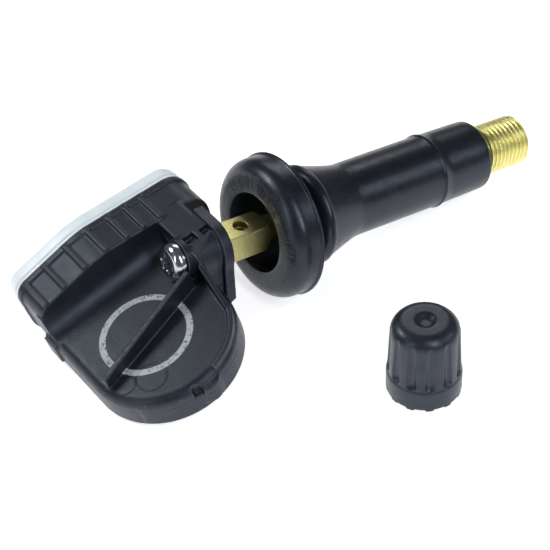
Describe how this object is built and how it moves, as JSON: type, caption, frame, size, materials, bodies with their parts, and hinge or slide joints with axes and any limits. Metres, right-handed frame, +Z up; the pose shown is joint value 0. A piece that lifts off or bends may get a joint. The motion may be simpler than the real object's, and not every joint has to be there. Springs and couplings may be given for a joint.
{
  "type": "tire pressure monitor",
  "caption": "Snap-in tire pressure sensor: ribbed plastic sensor housing with a pale lid, screwed to a brass and rubber valve stem, with its screw cap standing beside it.",
  "frame": {"origin": "on the table under the middle of the whole object, cap included", "axes": "+X along the valve stem towards its threaded tip, +Y towards the housing's lid, +Z up"},
  "size_m": [0.0818, 0.0502, 0.0212],
  "materials": {
    "housing_nylon": "glass-filled nylon, fine moulded texture with glass-fibre sparkle on rounded edges",
    "lid_plastic": "pale greenish white, slightly translucent, satin",
    "seal_bead": "cured sealant, satin",
    "filter_ptfe": "porous white",
    "board_laminate": "solder mask over glass laminate",
    "chip_epoxy": "moulded epoxy",
    "crystal_steel": "plated can",
    "ferrite": "sintered ferrite",
    "coil_copper": "enamelled copper windings",
    "cell_steel": "nickel-plated can",
    "tab_nickel": "nickel strip",
    "screw_chrome": "bright plated",
    "stem_brass": "machined brass with tool marks",
    "stem_rubber": "moulded black rubber, satin",
    "core_brass": "turned brass",
    "gasket_ptfe": "smooth",
    "cup_rubber": "moulded rubber",
    "spring_steel": "drawn wire",
    "cap_plastic": "moulded black plastic, satin",
    "cap_rubber": "moulded rubber"
  },
  "bodies": {
    "sensor": {"housing_shell": "housing_nylon", "housing_lid": "lid_plastic", "lid_seal": "seal_bead", "port_filter": "filter_ptfe", "circuit_board": "board_laminate", "pressure_sensor_chip": "chip_epoxy", "control_chip": "chip_epoxy", "crystal_can": "crystal_steel", "antenna_core": "ferrite", "antenna_coil": "coil_copper", "battery_cell": "cell_steel", "battery_tab_top": "tab_nickel", "battery_tab_bottom": "tab_nickel", "fixing_screw": "screw_chrome", "brass_stem": "stem_brass", "rubber_stem": "stem_rubber", "core_barrel": "core_brass", "core_gasket": "gasket_ptfe", "core_spring": "spring_steel"},
    "valve_pin": {"core_pin": "core_brass", "core_seat_cup": "cup_rubber"},
    "valve_cap": {"cap_shell": "cap_plastic", "cap_seal": "cap_rubber"}
  },
  "joints": [
    {"name": "valve_pin_press", "type": "slide", "parent": "sensor", "child": "valve_pin", "axis": [-0.9905, 0, 0.1374], "range_m": [0, 0.0013], "stiffness_N_per_m": 300, "springref_m": -0.003, "deforming": ["core_spring"]},
    {"name": "cap_lift", "type": "slide", "parent": "sensor", "child": "valve_cap", "axis": [0, 0, 1], "range_m": [0, 0.03]}
  ]
}
